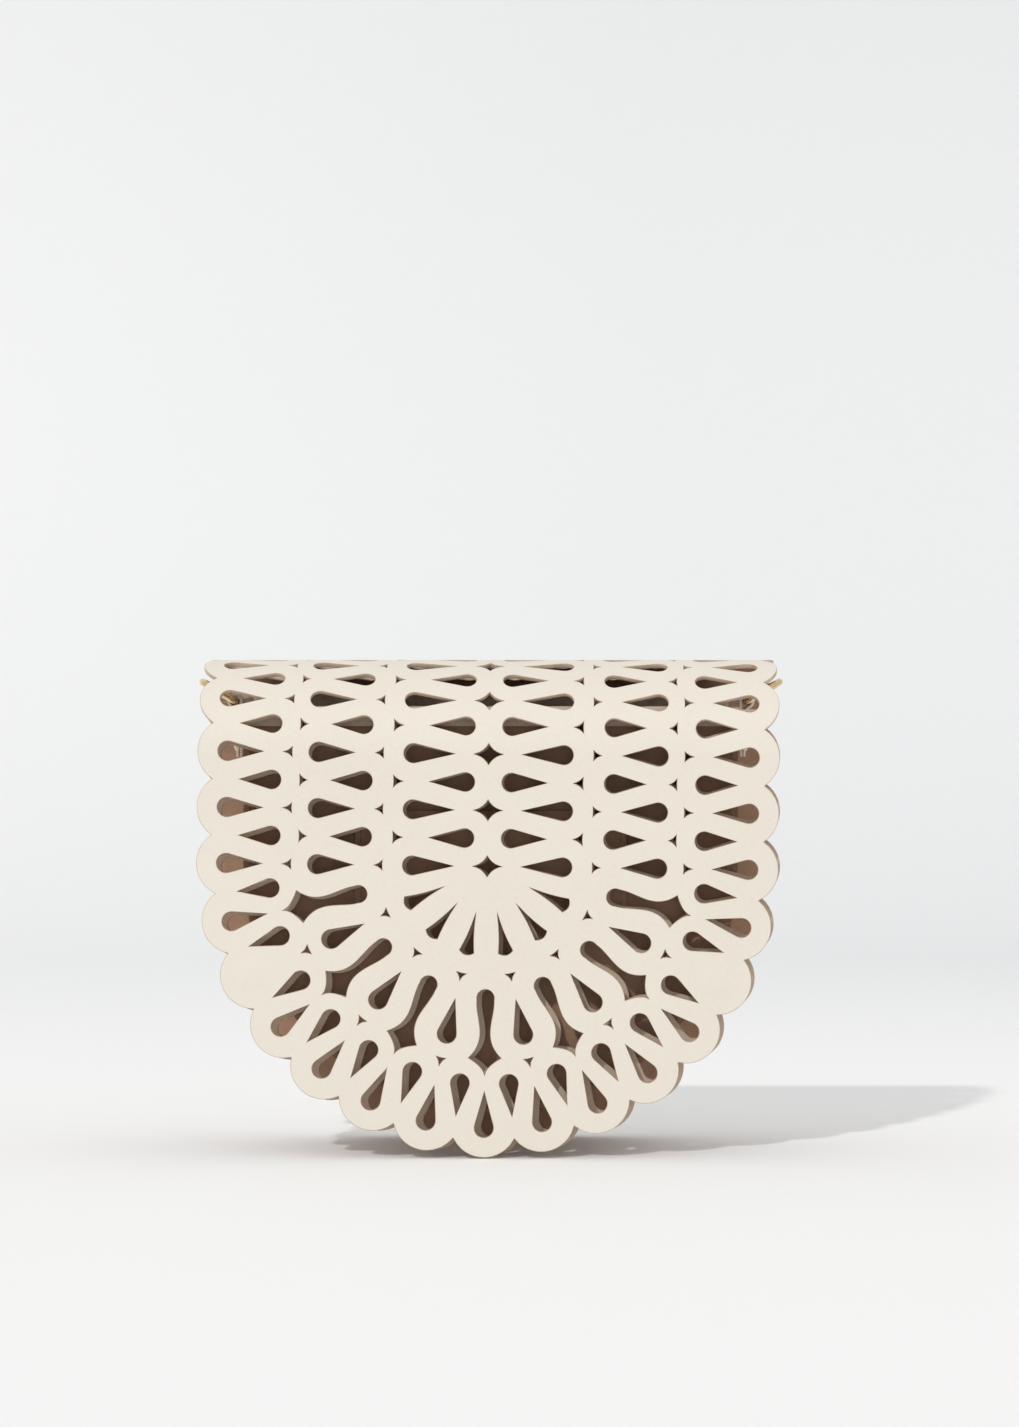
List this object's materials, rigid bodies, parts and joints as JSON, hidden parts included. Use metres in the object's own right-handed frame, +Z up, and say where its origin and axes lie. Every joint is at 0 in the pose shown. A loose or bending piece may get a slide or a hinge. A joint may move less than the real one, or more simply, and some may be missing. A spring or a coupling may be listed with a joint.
{
  "type": "lace flap bag",
  "caption": "Small leather flap bag: a laser-cut scalloped lace wrap folded over a round top in front of a U-shaped pouch, with magnet closures and side rings.",
  "frame": {"origin": "on the surface that the bag stands on, under the middle of its width and depth", "axes": "+Z up, flap facing -Y, +X to the right when the flap is seen from in front"},
  "size_m": [0.2122, 0.07, 0.1769],
  "materials": {
    "lace_leather": "smooth semi-matt ivory leather, laser-cut, with tan flesh side",
    "pouch_leather": "smooth matt brown leather, stitched",
    "binding": "thin folded ivory leather",
    "lining": "woven cotton lining, tan",
    "stiffener": "plain fibre board",
    "hardware": "polished pale gold",
    "magnet": "nickel-plated"
  },
  "bodies": {
    "body": {"back_lace": "lace_leather", "back_backing": "pouch_leather", "front_lace": "lace_leather", "card_pocket": "pouch_leather", "pouch_front": "pouch_leather", "pouch_back": "pouch_leather", "pouch_gusset": "pouch_leather", "gusset_stiffener": "stiffener", "lining_front": "lining", "lining_back": "lining", "lining_gusset": "lining", "binding_front": "binding", "binding_back": "binding", "binding_left": "binding", "binding_right": "binding", "tab_left": "binding", "tab_right": "binding", "rivet_left": "hardware", "rivet_right": "hardware", "body_magnet_left": "magnet", "body_magnet_right": "magnet", "body_magnet_cover_left": "lace_leather", "body_magnet_cover_right": "lace_leather"},
    "roll": {"roll_lace": "lace_leather"},
    "flap": {"flap_lace": "lace_leather", "flap_magnet_left": "magnet", "flap_magnet_right": "magnet", "flap_magnet_cover_left": "lace_leather", "flap_magnet_cover_right": "lace_leather"},
    "ring_left": {"ring_left": "hardware"},
    "ring_right": {"ring_right": "hardware"}
  },
  "joints": [
    {"name": "wrap_fold", "type": "hinge", "parent": "body", "child": "roll", "pos_m": [0, 0.02798, 0.16303], "axis": [-1, 0, 0], "range_deg": [0, 100]},
    {"name": "flap_fold", "type": "hinge", "parent": "roll", "child": "flap", "pos_m": [0, -0.035, 0.13812], "axis": [-1, 0, 0], "range_deg": [0, 100]},
    {"name": "ring_left_swing", "type": "hinge", "parent": "body", "child": "ring_left", "pos_m": [-0.0926, 0.00115, 0.1619], "axis": [0, -1, 0], "range_deg": [0, 104]},
    {"name": "ring_right_swing", "type": "hinge", "parent": "body", "child": "ring_right", "pos_m": [0.0926, 0.00115, 0.1619], "axis": [0, 1, 0], "range_deg": [0, 104]}
  ]
}
